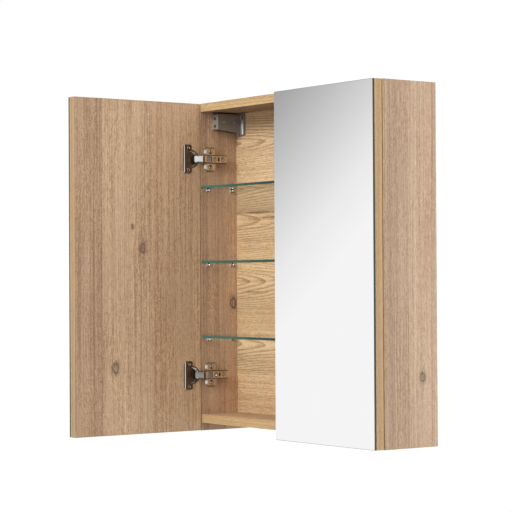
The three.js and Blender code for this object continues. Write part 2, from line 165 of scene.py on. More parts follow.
def srgb(red, green, blue):
    """A screen colour of 0 to 255 as the linear colour that shaders use."""
    def linear(level):
        level /= 255
        return level / 12.92 if level <= 0.04045 else ((level + 0.055) / 1.055) ** 2.4
    return (linear(red), linear(green), linear(blue), 1.0)


def grey(level):
    return srgb(level, level, level)


# Material graphs --------------------------------------------------------------

class Graph:
    """Short calls for a material's node graph, ending in one Principled shader."""

    def __init__(self, name):
        self.material = bpy.data.materials.new(name)
        self.material.use_nodes = True
        self.tree = self.material.node_tree
        self.tree.nodes.clear()
        self.shader = self.add("ShaderNodeBsdfPrincipled")
        self.wire(self.shader.outputs["BSDF"], self.add("ShaderNodeOutputMaterial").inputs["Surface"])

    def add(self, kind, **settings):
        node = self.tree.nodes.new(kind)
        for key, value in settings.items():
            setattr(node, key, value)
        return node

    def wire(self, value, socket):
        if isinstance(value, bpy.types.NodeSocket):
            self.tree.links.new(value, socket)
        else:
            socket.default_value = value

    def set(self, **inputs):
        for name, value in inputs.items():
            self.wire(value, self.shader.inputs[name.replace("_", " ")])

    def math(self, operation, *values, clamp=False):
        node = self.add("ShaderNodeMath", operation=operation, use_clamp=clamp)
        for value, socket in zip(values, node.inputs):
            self.wire(value, socket)
        return node.outputs[0]

    def place(self):
        """The point in the row frame, as three sockets."""
        node = self.add("ShaderNodeSeparateXYZ")
        self.wire(self.add("ShaderNodeTexCoord").outputs["Object"], node.inputs[0])
        return node.outputs

    def facing(self, direction):
        """1 where the surface faces the direction, 0 square to it and -1 behind, in the row frame."""
        node = self.add("ShaderNodeVectorMath", operation="DOT_PRODUCT")
        self.wire(self.add("ShaderNodeTexCoord").outputs["Normal"], node.inputs[0])
        node.inputs[1].default_value = direction
        return node.outputs["Value"]

    def vector(self, x, y, z):
        node = self.add("ShaderNodeCombineXYZ")
        for value, socket in zip((x, y, z), node.inputs):
            self.wire(value, socket)
        return node.outputs[0]

    def noise(self, vector, scale=1.0, detail=2.0, roughness=0.5):
        node = self.add("ShaderNodeTexNoise")
        self.wire(vector, node.inputs["Vector"])
        node.inputs["Scale"].default_value = scale
        node.inputs["Detail"].default_value = detail
        node.inputs["Roughness"].default_value = roughness
        return node.outputs[0]

    def ramp(self, factor, stops, interpolation="LINEAR"):
        """A colour ramp through (place, colour or level) stops."""
        node = self.add("ShaderNodeValToRGB")
        node.color_ramp.interpolation = interpolation
        elements = node.color_ramp.elements
        while len(elements) < len(stops):
            elements.new(1.0)
        while len(elements) > len(stops):
            elements.remove(elements[-1])
        for element, (position, colour) in zip(elements, stops):
            element.position = position
            element.color = colour if isinstance(colour, tuple) else (colour, colour, colour, 1.0)
        self.wire(factor, node.inputs[0])
        return node.outputs[0]

    def mix(self, factor, first, second, blend="MIX"):
        node = self.add("ShaderNodeMix", data_type="RGBA", blend_type=blend)
        self.wire(factor, node.inputs[0])
        self.wire(first, node.inputs[6])
        self.wire(second, node.inputs[7])
        return node.outputs[2]

    def bump(self, height, distance, strength=1.0):
        node = self.add("ShaderNodeBump")
        node.inputs["Strength"].default_value = strength
        node.inputs["Distance"].default_value = distance
        self.wire(height, node.inputs["Height"])
        self.wire(node.outputs[0], self.shader.inputs["Normal"])


# Oak ----------------------------------------------------------------------------

OAK_LIGHT = srgb(214, 187, 157)
OAK_MIDDLE = srgb(193, 162, 131)
OAK_DARK = srgb(158, 127, 100)
OAK_PORE = srgb(122, 96, 76)
KNOT_COLOUR = srgb(84, 64, 54)
GOLD_LIGHT = srgb(224, 192, 145)
GOLD_MIDDLE = srgb(206, 171, 125)
GOLD_DARK = srgb(172, 136, 94)

# Planks of the printed pattern: where each starts across the board, where its heart lies, and its tint.
# Some tints also hold painted shade, as noted.
SIDE_PLANKS = (
    (0.0, 0.020, (0.600, 0.590, 0.600)), (0.0585, 0.085, (0.705, 0.710, 0.720)))
INNER_PLANKS = (
    (0.0, 0.020, (0.690, 0.605, 0.560)), (0.0160, 0.030, (0.880, 0.770, 0.715)),
    (0.0585, 0.085, (1.050, 0.915, 0.840)), (0.0930, 0.110, (1.170, 1.020, 0.935)))
DOOR_PLANKS = (
    (0.0, 0.008, (0.833, 0.750, 0.667)), (0.0165, 0.090, (0.743, 0.672, 0.596)),
    (0.116, 0.176, (0.810, 0.782, 0.720)), (0.231, 0.262, (0.635, 0.585, 0.540)))
# The top panel's dark tint is painted shade on its underside, which faces down into the cabinet.
TOP_PLANKS_IN_PAINTED_SHADE = ((0.0, 0.05, (0.42, 0.355, 0.27)),)
BOTTOM_PLANKS = ((0.0, 0.05, (0.74, 0.67, 0.57)),)
# The plank from 0.412 m lies under the upper shelf: its dark tint is partly its own tone and partly painted
# shade under the shelf.
BACK_PLANKS_AND_PAINTED_SHELF_SHADE = (
    (0.0, 0.09, (1.080, 1.100, 1.215)), (0.078, 0.11, (0.900, 0.915, 1.010)),
    (0.155, 0.24, (0.950, 0.950, 1.030)), (0.34, 0.37, (0.990, 0.995, 1.095)),
    (0.412, 0.45, (0.740, 0.745, 0.825)), (0.474, 0.53, (1.070, 1.100, 1.240)))
BAND_PLANKS = {
    "top": ((0.0, 0.05, (0.680, 0.665, 0.605)),),
    "bottom": ((0.0, 0.05, (0.760, 0.735, 0.645)),),
}
SIDE_KNOTS = ((0.0901, 0.1287, 0.0055, 1.45),)
INNER_KNOTS = ((0.0793, 0.2600, 0.0072, 1.45),)
DOOR_KNOTS = (
    (0.1388, 0.3705, 0.0062, 1.45), (0.1630, 0.4144, 0.0030, 1.45), (0.2036, 0.1319, 0.0070, 1.45))
BACK_CHECKS = ((0.413, 0.075, 0.0014, 26.0), (0.402, 0.112, 0.0012, 18.0), (0.250, 0.060, 0.0011, 20.0))
UPRIGHT_BAND_PLANKS = ((0.0, 0.05, (0.560, 0.535, 0.520)),)
DOOR_BAND_PLANKS = (
    (0.0, 0.05, (0.600, 0.575, 0.560)), (0.0045, 0.05, (0.525, 0.500, 0.490)),
    (0.0115, 0.05, (0.605, 0.580, 0.565)))
# Brightness along the grain, as stops: on the left side's inner face it is painted shade, darkest at the top
# under the top panel; the door darkens towards its top.
INNER_PAINTED_TOP_SHADE = ((0.0, 1.0), (0.2, 0.92), (0.6, 0.92), (0.8, 0.90), (1.0, 0.80))
DOOR_TOP_DARKENING = ((0.0, 1.0), (0.15, 0.98), (0.35, 0.92), (0.55, 0.89), (1.0, 0.88))


def bend_round_knots(graph, s, v, line, ragged, knots):
    """The grain line led round each knot, and each knot's own darkness."""
    spots = []
    for knot_across, knot_along, radius, stretch in knots:
        aside = graph.math("SUBTRACT", s, knot_across)
        beyond = graph.math("SUBTRACT", v, knot_along)
        reach = graph.math("ADD", graph.math("POWER", graph.math("DIVIDE", aside, 2.6 * radius), 2.0),
                           graph.math("POWER", graph.math("DIVIDE", beyond, 4.8 * stretch * radius), 2.0))
        pull = graph.math("DIVIDE", 0.8, graph.math("POWER", graph.math("ADD", reach, 1.0), 2.0))
        line = graph.math("SUBTRACT", line, graph.math("MULTIPLY", aside, pull))
        round_way = graph.math("SQRT", graph.math(
            "ADD", graph.math("POWER", graph.math("DIVIDE", aside, radius), 2.0),
            graph.math("POWER", graph.math("DIVIDE", beyond, stretch * radius), 2.0)))
        uneven = graph.math("ADD", round_way, graph.math("MULTIPLY_ADD", ragged, 0.7, -0.35))
        spots.append(graph.ramp(graph.math("DIVIDE", uneven, 2.5), [
            (0.0, 0.70), (0.14, 0.40), (0.26, 0.55), (0.36, 1.0), (0.47, 0.40), (0.7, 0.14), (1.0, 0.0)]))
    return line, spots


def oak(node, along, across, planks, knots=(), figure=1.0, from_high=False, golden=False, darkening_along=None):
    """Matt oak-patterned board whose grain runs along one axis of the row frame.

    Distances across are measured from the board's low edge, or from its high edge. A knot is a place across
    the board, a place along it and a radius in metres, and how many times longer than wide it is. The figure
    is the strength of the pattern. The darkening along is the brightness at places along the grain, as
    stops;
    on the left side's inner face it is painted shade under the top panel.
    """
    graph = Graph("oak_" + node)
    low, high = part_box(node)
    place = graph.place()
    depth = 3 - along - across
    if from_high:
        s = graph.math("SUBTRACT", high[across], place[across])
    else:
        s = graph.math("SUBTRACT", place[across], low[across])
    v = graph.math("SUBTRACT", place[along], low[along])
    width = high[across] - low[across]
    share = graph.math("DIVIDE", s, width)
    tint = graph.ramp(share, [(start / width, (*tint, 1.0)) for start, heart, tint in planks], "CONSTANT")
    heart = graph.ramp(share, [(start / width, heart) for start, heart, tint in planks], "CONSTANT")
    seed = graph.math("MULTIPLY_ADD", place[depth], 40.0, graph.math("MULTIPLY", tint, 60.0))

    def grain(line, per_metre_across, per_metre_along, shift, detail=2.0, roughness=0.5):
        vector = graph.vector(
            graph.math("MULTIPLY", line, per_metre_across),
            graph.math("MULTIPLY", v, per_metre_along),
            graph.math("ADD", seed, shift))
        return graph.noise(vector, detail=detail, roughness=roughness)

    wander = graph.math("MULTIPLY_ADD", grain(s, 9.0, 1.6, 0.0, 1.0), 0.008, -0.004)
    line = graph.math("ADD", graph.math("MULTIPLY_ADD", place[depth], 0.8, s), wander)
    ragged = grain(s, 160.0, 90.0, 5.0)
    line, spots = bend_round_knots(graph, s, v, line, ragged, knots)
    # Growth rings: arches that climb the board on both sides of each plank's heart, and fade in places.
    aside = graph.math("ABSOLUTE", graph.math("SUBTRACT", line, heart))
    arch = graph.math("POWER", graph.math("DIVIDE", aside, 0.03), 1.6)
    uneven = graph.math("MULTIPLY", grain(line, 18.0, 2.4, 2.0, 1.0), 4.5)
    climb = graph.math("MULTIPLY_ADD", v, 13.0, uneven)
    rings = graph.math("FRACT", graph.math("MULTIPLY_ADD", arch, 3.4, climb))
    ring_shade = graph.ramp(rings, [(0.0, 0.95), (0.5, 0.75), (0.78, 0.35), (0.92, 0.05), (1.0, 0.95)])
    ring_fade = graph.ramp(grain(line, 14.0, 2.6, 21.0), [(0.40, 0.0), (0.60, 1.0)])
    # The tone is shared by long streaks, fine fibres, broad clouds, grit and the rings.
    streak = grain(line, 400.0, 1.9, 3.0, detail=3.0, roughness=0.75)
    fine = grain(line, 760.0, 60.0, 9.0, detail=2.0, roughness=0.7)
    cloud = grain(line, 26.0, 3.4, 11.0, detail=2.0)
    shade = graph.math("MULTIPLY_ADD", streak, 0.50, graph.math("MULTIPLY_ADD", fine, 0.40, 0.03))
    shade = graph.math("MULTIPLY_ADD", cloud, 0.12, shade)
    grit = grain(line, 420.0, 230.0, 31.0, detail=1.0)
    ring_part = graph.math("MULTIPLY", graph.math("SUBTRACT", ring_shade, 0.62), ring_fade)
    shade = graph.math("MULTIPLY_ADD", grit, 0.24, shade)
    shade = graph.math("MULTIPLY_ADD", ring_part, 0.38, shade)
    tones = (GOLD_DARK, GOLD_MIDDLE, GOLD_LIGHT) if golden else (OAK_DARK, OAK_MIDDLE, OAK_LIGHT)
    spread = 0.10 / figure
    colour = graph.ramp(shade, list(zip((0.66 - spread, 0.66, 0.66 + spread), tones)))
    colour = graph.mix(1.0, colour, tint, "MULTIPLY")
    # Pores lie over it as faint long lines and as short dark dashes.
    lines = graph.ramp(grain(line, 330.0, 1.3, 15.0, detail=2.0, roughness=0.8), [(0.50, 0.0), (0.60, 1.0)])
    colour = graph.mix(graph.math("MULTIPLY", lines, 0.22), colour, OAK_PORE)
    dashes = graph.ramp(grain(line, 900.0, 110.0, 7.0, detail=1.0), [(0.60, 0.0), (0.70, 1.0)])
    colour = graph.mix(graph.math("MULTIPLY", dashes, 0.5), colour, OAK_PORE)
    for spot in spots:
        colour = graph.mix(graph.math("MULTIPLY", spot, 0.95), colour, KNOT_COLOUR)
    # Darker towards one end along the grain: painted shade on the left side's inner face.
    if darkening_along:
        run = graph.math("DIVIDE", v, high[along] - low[along])
        colour = graph.mix(1.0, colour, graph.ramp(run, darkening_along), "MULTIPLY")
    relief = graph.math("SUBTRACT", graph.math("MULTIPLY", streak, 0.6), dashes)
    graph.bump(relief, 0.10 * MM, 0.5)
    graph.set(Base_Color=colour, Roughness=graph.math("MULTIPLY_ADD", streak, 0.16, 0.46))
    graph.shader.inputs["Specular IOR Level"].default_value = 0.35
    return graph.material


# Mirror, glass and metal -----------------------------------------------------------

EDGE_TEAL = srgb(47, 68, 61)
EDGE_DEEP = srgb(35, 44, 40)


def mirror_glass(name, front):
    """Silvered float glass: a clear reflection in front, green ground edges and a painted back."""
    graph = Graph(name)
    silver = graph.ramp(graph.facing(front), [(0.965, 0.0), (0.985, 1.0)])
    painted = graph.math("LESS_THAN", graph.facing(front), -0.7)
    place = graph.place()
    depth = graph.noise(graph.vector(*place), scale=3.0, detail=1.0)
    edge = graph.mix(depth, EDGE_TEAL, EDGE_DEEP)
    back = graph.mix(graph.noise(graph.vector(*place), scale=60.0), grey(112), grey(98))
    ripple = graph.noise(graph.vector(*place), scale=9.0, detail=1.0)
    bright = graph.mix(ripple, grey(251), grey(253))
    body = graph.mix(painted, edge, back)
    graph.set(
        Base_Color=graph.mix(silver, body, bright),
        Metallic=silver,
        Roughness=graph.ramp(silver, [(0.0, 0.22), (1.0, 0.012)]))
    return graph.material


def shelf_glass():
    """Clear float glass with ground edges, where the light that has run through the sheet shows green."""
    graph = Graph("shelf_glass")
    place = graph.place()
    upright = graph.math("ABSOLUTE", graph.facing(UP))
    clear = graph.ramp(upright, [(0.80, 0.0), (0.92, 1.0)])
    patches = graph.noise(graph.vector(*place), scale=14.0, detail=2.0)
    depth = graph.math("ADD", graph.math("MULTIPLY_ADD", place[X], 4.0, 0.75), patches, clamp=True)
    edge = graph.mix(depth, srgb(44, 99, 80), srgb(20, 52, 43))
    grind = graph.noise(graph.vector(*place), scale=900.0, detail=2.0)
    graph.set(
        Base_Color=graph.mix(clear, edge, srgb(224, 238, 230)),
        Transmission_Weight=clear,
        Roughness=graph.mix(clear, graph.math("MULTIPLY_ADD", grind, 0.2, 0.12), grey(0)))
    graph.shader.inputs["IOR"].default_value = 1.52
    return graph.material


# Painted shade colour of plated parts, for faces that look up or down and for a node's upper and lower
# margins.
PAINTED_METAL_SHADE = srgb(70, 62, 54)


def metal(name, light, dark, flats, roughness, spread, metallic=1.0, dent=0.02, node=None):
    """Plated steel, a little uneven in tone and polish.

    Edges and rounded parts are painted bright as a painted sheen, the flats that face along X are painted
    darker as a painted reflection, and whatever faces up or down carries painted shade, as do the folded
    upper and lower margins of a node, as a painted shadow.
    """
    graph = Graph(name)
    place = graph.place()
    tone = graph.noise(graph.vector(*place), scale=90.0, detail=4.0, roughness=0.6)
    wear = graph.noise(graph.vector(*place), scale=900.0, detail=3.0)
    # Painted reflection: faces that look along X take the darker flats colours, the rest a brighter painted
    # sheen.
    flat = graph.ramp(graph.math("ABSOLUTE", graph.facing(ALONG_X)), [(0.90, 0.0), (0.985, 1.0)])
    # Painted shade on faces that look up or down.
    painted_up_down_shade = graph.ramp(graph.math("ABSOLUTE", graph.facing(UP)), [(0.30, 0.0), (0.75, 1.0)])
    plating = graph.mix(painted_up_down_shade, graph.mix(tone, light, dark), PAINTED_METAL_SHADE)
    colour = graph.mix(flat, plating, graph.mix(tone, *flats))
    if node:
        # Painted shadow along the node's upper and lower margins.
        low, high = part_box(node)
        offset = graph.math("ABSOLUTE", graph.math("SUBTRACT", place[Z], (low.z + high.z) / 2))
        rim = graph.math("SUBTRACT", (high.z - low.z) / 2 / MM, graph.math("DIVIDE", offset, MM))
        painted_rim_shadow = graph.ramp(graph.math("DIVIDE", rim, 3.0), [(0.35, 1.0), (0.7, 0.0)])
        colour = graph.mix(painted_rim_shadow, colour, PAINTED_METAL_SHADE)
    graph.set(
        Base_Color=colour,
        Roughness=graph.math("MULTIPLY_ADD", wear, spread, roughness - spread / 2))
    graph.shader.inputs["Metallic"].default_value = metallic
    graph.bump(tone, dent * MM, 0.5)
    return graph.material


def plastic(name, light, dark, roughness=0.42):
    """Moulded plastic with a fine spark-eroded skin."""
    graph = Graph(name)
    place = graph.place()
    skin = graph.noise(graph.vector(*place), scale=2600.0, detail=2.0)
    graph.set(Base_Color=graph.mix(skin, light, dark),
              Roughness=graph.math("MULTIPLY_ADD", skin, 0.2, roughness - 0.1))
    graph.bump(skin, 0.02 * MM, 0.5)
    return graph.material


# Meshes ------------------------------------------------------------------------------

def mesh_from(bm, name):
    bmesh.ops.recalc_face_normals(bm, faces=bm.faces)
    mesh = bpy.data.meshes.new(name)
    bm.to_mesh(mesh)
    bm.free()
    mesh.shade_smooth()
    return mesh


def lathe(name, profile, segments=40):
    """A closed body turned about Z, from (radius, height) points in millimetres that start and end on it."""
    bm = bmesh.new()
    rings = []
    for radius, height in profile:
        if radius == 0:
            rings.append([bm.verts.new((0, 0, height * MM))] * segments)
            continue
        angles = [2 * math.pi * i / segments for i in range(segments)]
        rings.append([bm.verts.new((radius * MM * math.cos(a), radius * MM * math.sin(a), height * MM))
                      for a in angles])
    if profile[0] == profile[-1]:
        rings[-1] = rings[0]
    for lower, upper in zip(rings, rings[1:]):
        for i in range(segments):
            corners = (lower[i], lower[i - 1], upper[i - 1], upper[i])
            bm.faces.new(dict.fromkeys(corners))
    return mesh_from(bm, name)


def prism(name, points, depth):
    """An outline of (x, y) points in millimetres, raised by the depth."""
    bm = bmesh.new()
    bottom = [bm.verts.new((x * MM, y * MM, 0)) for x, y in points]
    top = [bm.verts.new((x * MM, y * MM, depth * MM)) for x, y in points]
    bm.faces.new(bottom)
    bm.faces.new(top)
    for i in range(len(points)):
        bm.faces.new((bottom[i - 1], bottom[i], top[i], top[i - 1]))
    return mesh_from(bm, name)


def cross_outline(reach, width):
    """A four-armed cross of the given reach and arm half width."""
    quarter = [(reach, -width), (reach, width), (width, width)]
    points = []
    for turn in range(4):
        angle = turn * math.pi / 2
        for x, y in quarter:
            points.append((x * math.cos(angle) - y * math.sin(angle),
                           x * math.sin(angle) + y * math.cos(angle)))
    return points


def carved(mesh, tool, lift):
    """The mesh with the tool's shape cut out of it, lifted by so many millimetres."""
    body = bpy.data.objects.new("carving_body", mesh)
    cutter = bpy.data.objects.new("carving_tool", tool)
    tool.transform(Matrix.Translation((0, 0, lift * MM)))
    for item in (body, cutter):
        bpy.context.scene.collection.objects.link(item)
    cut = body.modifiers.new("cut", "BOOLEAN")
    cut.object = cutter
    cut.solver = "EXACT"
    done = bpy.data.meshes.new_from_object(body.evaluated_get(bpy.context.evaluated_depsgraph_get()))
    for item in (body, cutter):
        bpy.data.objects.remove(item)
    return done


def screw_mesh(name, radius, height, reach):
    """A screw head with a rounded crown and a cross recess, whose seat is at z = 0."""
    crown = [(radius * math.cos(a), height * (0.35 + 0.65 * math.sin(a)))
             for a in (math.radians(15 * step) for step in range(6))]
    profile = [(0, -0.6), (radius * 0.6, -0.6), (radius * 0.98, 0), *crown, (0, height)]
    recess = prism(name + "_recess", cross_outline(reach, reach * 0.3), height)
    return carved(lathe(name, profile), recess, height * 0.35)


def recess_shade_mesh(name, height, reach):
    """The floor of a screw's cross recess, in a dark colour that paints the shade in the recess."""
    floor = prism(name, cross_outline(reach * 0.97, reach * 0.28), height * 0.15)
    floor.transform(Matrix.Translation((0, 0, height * 0.36 * MM)))
    return floor


def aim(centre, axis, spin=0.0):
    """The matrix that stands a mesh's Z on the axis at the centre."""
    turn = Vector(axis).to_track_quat("Z", "Y").to_matrix().to_4x4()
    return Matrix.Translation(centre) @ turn @ Matrix.Rotation(spin, 4, "Z")


def stand(origin, x_axis, y_axis, z_axis):
    """The matrix that puts a mesh's three axes along the given directions, from the origin."""
    turn = Matrix((x_axis, y_axis, z_axis)).transposed().to_4x4()
    return Matrix.Translation(origin) @ turn


def add_piece(name, mesh, matrix, material, body, bevel=0.0):
    """A detail piece with its mesh in the row frame, riding on a body."""
    mesh = mesh.copy()
    mesh.name = name
    mesh.transform(matrix)
    if matrix.determinant() < 0:
        mesh.flip_normals()
    mesh.materials.clear()
    mesh.materials.append(material)
    piece = bpy.data.objects.new(name, mesh)
    bpy.context.scene.collection.objects.link(piece)
    if bevel:
        round_edges(piece, bevel)
    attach(piece, body)
    return piece


def add_screw(name, size, matrix, finishes, body):
    """A cross-headed screw of a (radius, height, reach) size, in a head finish and a recess colour that is
    painted shade.
    """
    radius, height, reach = size
    head, recess = finishes
    add_piece(name, screw_mesh(name, radius, height, reach), matrix, head, body)
    add_piece(name + "_recess", recess_shade_mesh(name + "_floor", height, reach), matrix, recess, body)


def round_edges(piece, width, segments=2):
    """Eased edges of so many millimetres, with flat faces that stay flat."""
    weld = piece.modifiers.new("weld", "WELD")
    weld.merge_threshold = 0.001 * MM
    bevel = piece.modifiers.new("bevel", "BEVEL")
    bevel.width = width * MM
    bevel.segments = segments
    bevel.limit_method = "ANGLE"
    bevel.angle_limit = math.radians(38)
    bevel.harden_normals = True
    flats = piece.modifiers.new("flats", "WEIGHTED_NORMAL")
    flats.weight = 100


# The stage ----------------------------------------------------------------------------

def add_camera():
    data = bpy.data.cameras.new("camera")
    data.lens = CAMERA_LENS
    camera = bpy.data.objects.new("camera", data)
    bpy.context.scene.collection.objects.link(camera)
    camera.matrix_world = (
        Matrix.Translation(CAMERA_PLACE)
        @ Matrix.Rotation(math.radians(CAMERA_TURN), 4, "Z")
        @ Matrix.Rotation(math.radians(90 + CAMERA_TILT), 4, "X")
        @ Matrix.Rotation(math.radians(CAMERA_ROLL), 4, "Z"))
    bpy.context.scene.camera = camera


def add_floor():
    """A pale studio floor, well below the hanging cabinet."""
    bm = bmesh.new()
    bmesh.ops.create_circle(bm, cap_ends=True, radius=FLOOR_RADIUS, segments=96)
    floor = bpy.data.objects.new("floor", mesh_from(bm, "floor"))
    floor.location.z = cad_low.z - FLOOR_DROP
    graph = Graph("floor")
    grain = graph.noise(graph.vector(*graph.place()), scale=8.0, detail=3.0)
    graph.set(Base_Color=graph.mix(grain, grey(222), grey(218)))
    graph.shader.inputs["Roughness"].default_value = 0.9
    floor.data.materials.append(graph.material)
    bpy.context.scene.collection.objects.link(floor)
    floor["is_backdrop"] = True


def add_reflector():
    """A round studio wall that only reflections see: white, falling to grey up and to one side."""
    bm = bmesh.new()
    bmesh.ops.create_cone(bm, radius1=REFLECTOR["radius"], radius2=REFLECTOR["radius"],
                          depth=2 * REFLECTOR["half_height"], segments=128)
    wall = bpy.data.objects.new("reflector", mesh_from(bm, "reflector"))
    graph = Graph("reflector")
    place = graph.place()
    along_x, along_y = REFLECTOR["slope"]
    sideways = graph.math("MULTIPLY_ADD", place[X], along_x, graph.math("MULTIPLY", place[Y], along_y))
    run = graph.math("MULTIPLY_ADD", graph.math("SUBTRACT", sideways, place[Z]), *REFLECTOR["run"])
    glow = graph.ramp(run, [(0.0, grey(162)), (0.10, grey(173)), (0.28, grey(193)), (0.59, grey(224)),
                            (0.75, grey(237)), (1.0, grey(247))])
    graph.shader.inputs["Base Color"].default_value = (0.0, 0.0, 0.0, 1.0)
    graph.shader.inputs["Specular IOR Level"].default_value = 0.0
    graph.set(Emission_Color=glow)
    graph.shader.inputs["Emission Strength"].default_value = 1.0
    wall.data.materials.append(graph.material)
    bpy.context.scene.collection.objects.link(wall)
    for ray in ("camera", "diffuse", "shadow", "transmission", "volume_scatter"):
        setattr(wall, "visible_" + ray, False)
    wall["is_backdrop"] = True


def add_dark_cards():
    """Black cards held out of shot under the cabinet and before it, so that its light comes from above."""
    graph = Graph("dark_card")
    weave = graph.noise(graph.vector(*graph.place()), scale=300.0)
    graph.set(Base_Color=graph.mix(weave, grey(40), grey(28)))
    under = bmesh.new()
    bmesh.ops.create_circle(under, cap_ends=True, radius=UNDER_CARD["radius"], segments=64)
    bmesh.ops.translate(under, verts=under.verts, vec=(0, 0, cad_low.z - UNDER_CARD["drop"]))
    before = bmesh.new()
    left, right = FRONT_CARD["x"]
    bottom, top = FRONT_CARD["z"]
    before.faces.new([before.verts.new((x, FRONT_CARD["y"], z)) for x, z in
                      ((left, bottom), (right, bottom), (right, top), (left, top))])
    for name, bm in (("under_card", under), ("front_card", before)):
        card = bpy.data.objects.new(name, mesh_from(bm, name))
        card.data.materials.append(graph.material)
        bpy.context.scene.collection.objects.link(card)
        for ray in ("camera", "glossy", "transmission", "volume_scatter"):
            setattr(card, "visible_" + ray, False)
        card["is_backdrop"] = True


def add_key_light():
    """A soft round light before the cabinet and above it."""
    data = bpy.data.lights.new("key", "AREA")
    data.shape = "DISK"
    data.size = KEY["size"]
    data.energy = KEY["power"]
    light = bpy.data.objects.new("key", data)
    bpy.context.scene.collection.objects.link(light)
    middle = (cad_low + cad_high) / 2
    light.location = KEY["place"]
    light.rotation_euler = (middle - Vector(KEY["place"])).to_track_quat("-Z", "Y").to_euler()


def add_sky():
    """White light from all round, stronger from above."""
    scene = bpy.context.scene
    scene.view_settings.view_transform = "Standard"
    world = bpy.data.worlds.new("studio")
    world.use_nodes = True
    tree = world.node_tree
    place = tree.nodes.new("ShaderNodeTexCoord")
    height = tree.nodes.new("ShaderNodeSeparateXYZ")
    sky = tree.nodes.new("ShaderNodeMapRange")
    tree.links.new(place.outputs["Generated"], height.inputs[0])
    tree.links.new(height.outputs["Z"], sky.inputs["Value"])
    for name, value in SKY.items():
        sky.inputs[name].default_value = value
    tree.links.new(sky.outputs["Result"], tree.nodes["Background"].inputs["Strength"])
    tree.nodes["Background"].inputs["Color"].default_value = (1.0, 1.0, 1.0, 1.0)
    scene.world = world


# Finishes of the CAD nodes -----------------------------------------------------------------

def dress(node, material, edge, segments=2):
    """Gives a CAD node its material, and eases its edges by so many millimetres."""
    piece = frame["nodes"][node]
    attributes = piece.data.attributes
    if "custom_normal" in attributes:
        attributes.remove(attributes["custom_normal"])
    piece.data.shade_smooth()
    for item in piece.material_slots:
        item.material = material
    round_edges(piece, edge, segments)


def dress_boards():
    dress("right_side_panel", oak("right_side_panel", Z, Y, SIDE_PLANKS, SIDE_KNOTS, 0.75), EASED["side"])
    inner = oak("left_side_panel", Z, Y, INNER_PLANKS, INNER_KNOTS, 1.3, darkening_along=INNER_PAINTED_TOP_SHADE)
    dress("left_side_panel", inner, EASED["side"])
    for hand in HANDS:
        band = hand + "_side_edge_band"
        dress(band, oak(band, Z, X, UPRIGHT_BAND_PLANKS, golden=True), EASED["board"])
    for level, planks in (("top", TOP_PLANKS_IN_PAINTED_SHADE), ("bottom", BOTTOM_PLANKS)):
        dress(level + "_panel", oak(level + "_panel", X, Y, planks), EASED["board"])
        band = level + "_edge_band"
        dress(band, oak(band, X, Z, BAND_PLANKS[level], golden=True), EASED["board"])
    back = oak("back_panel", X, Z, BACK_PLANKS_AND_PAINTED_SHELF_SHADE, BACK_CHECKS, 0.85, golden=True)
    dress("back_panel", back, EASED["board"])
    for hand, across in (("left", Y), ("right", X)):
        panel = hand + "_door_panel"
        board = oak(panel, Z, across, DOOR_PLANKS, DOOR_KNOTS, 1.15, from_high=True, darkening_along=DOOR_TOP_DARKENING)
        dress(panel, board, EASED["board"])
        band = hand + "_door_edge_band"
        through = X if hand == "left" else Y
        edging = oak(band, Z, through, DOOR_BAND_PLANKS, figure=0.5, golden=True)
        dress(band, edging, EASED["board"])


def dress_glass():
    for hand, front in (("left", -ALONG_X), ("right", -ALONG_Y)):
        dress(hand + "_door_mirror", mirror_glass(hand + "_mirror", front), EASED["mirror"], 3)
    clear = shelf_glass()
    for level in SHELVES:
        dress(level + "_glass_shelf", clear, EASED["shelf"], 3)
        frame["nodes"][level + "_glass_shelf"].visible_shadow = False


def nickel(name, node=None):
    """Bright plating, with painted shadow on its upper and lower margins when it is made for one node."""
    return metal(name, srgb(222, 214, 204), srgb(186, 176, 164),
                 (srgb(214, 200, 184), srgb(176, 162, 146)), 0.16, 0.12, node=node)


def dress_metal(cup_painted_reflection, bright, worn, zinc):
    for hand in HANDS:
        for level in LEVELS:
            hinge = f"{hand}_{level}_hinge_"
            dress(hinge + "cup", cup_painted_reflection, EASED["cup"])
            for part in ("arm", "plate"):
                dress(hinge + part, nickel("nickel_" + hinge + part, hinge + part), EASED[part], 3)
            dress(hinge + "outer_link", bright if level == "upper" else worn, EASED["link"])
            dress(hinge + "inner_link", bright, EASED["link"])
        dress(hand + "_hanger_housing", zinc, EASED["hanger"])
        dress(hand + "_hanger_hook", zinc, EASED["hanger"])


# Fittings that the CAD model leaves out ---------------------------------------------------------

def inward(hand):
    """The direction from a side panel to the middle of the cabinet."""
    return ALONG_X if hand == "left" else -ALONG_X


def inner_face(node, hand):
    """The x of a side-mounted node's face that looks at the middle of the cabinet."""
    low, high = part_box(node)
    return high.x if hand == "left" else low.x


def add_shelf_studs(bright):
    """Turned studs: a collar against the board, a groove and a rounded end under the glass."""
    radius, length = STUD["radius"], STUD["length"]
    dome = [(radius * math.cos(a), length - radius + radius * math.sin(a)) for a in
            (math.radians(9 * step) for step in range(10))]
    profile = [(0, -9), (2.2, -9), (2.5, -8.6), (2.5, 0), (3.9, 0), (4.0, 0.15), (4.0, 0.65), (3.85, 0.8),
               (3.05, 0.8), (radius, 1.0), (radius, 4.6), (2.7, 4.9), (2.7, 5.4), (radius, 5.7), *dome,
               (0, length)]
    stud = lathe("stud", profile, 48)
    for level in SHELVES:
        for hand in HANDS:
            for row in ("front", "rear"):
                node = f"{level}_shelf_pin_{hand}_{row}"
                low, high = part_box(node)
                middle = (low + high) / 2
                middle.x = inner_face(node, hand) - STUD["length"] * MM * inward(hand).x
                name = f"{level}_stud_{hand}_{row}"
                piece = add_piece(name, stud, aim(middle, inward(hand)), bright, "cabinet")
                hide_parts(node)


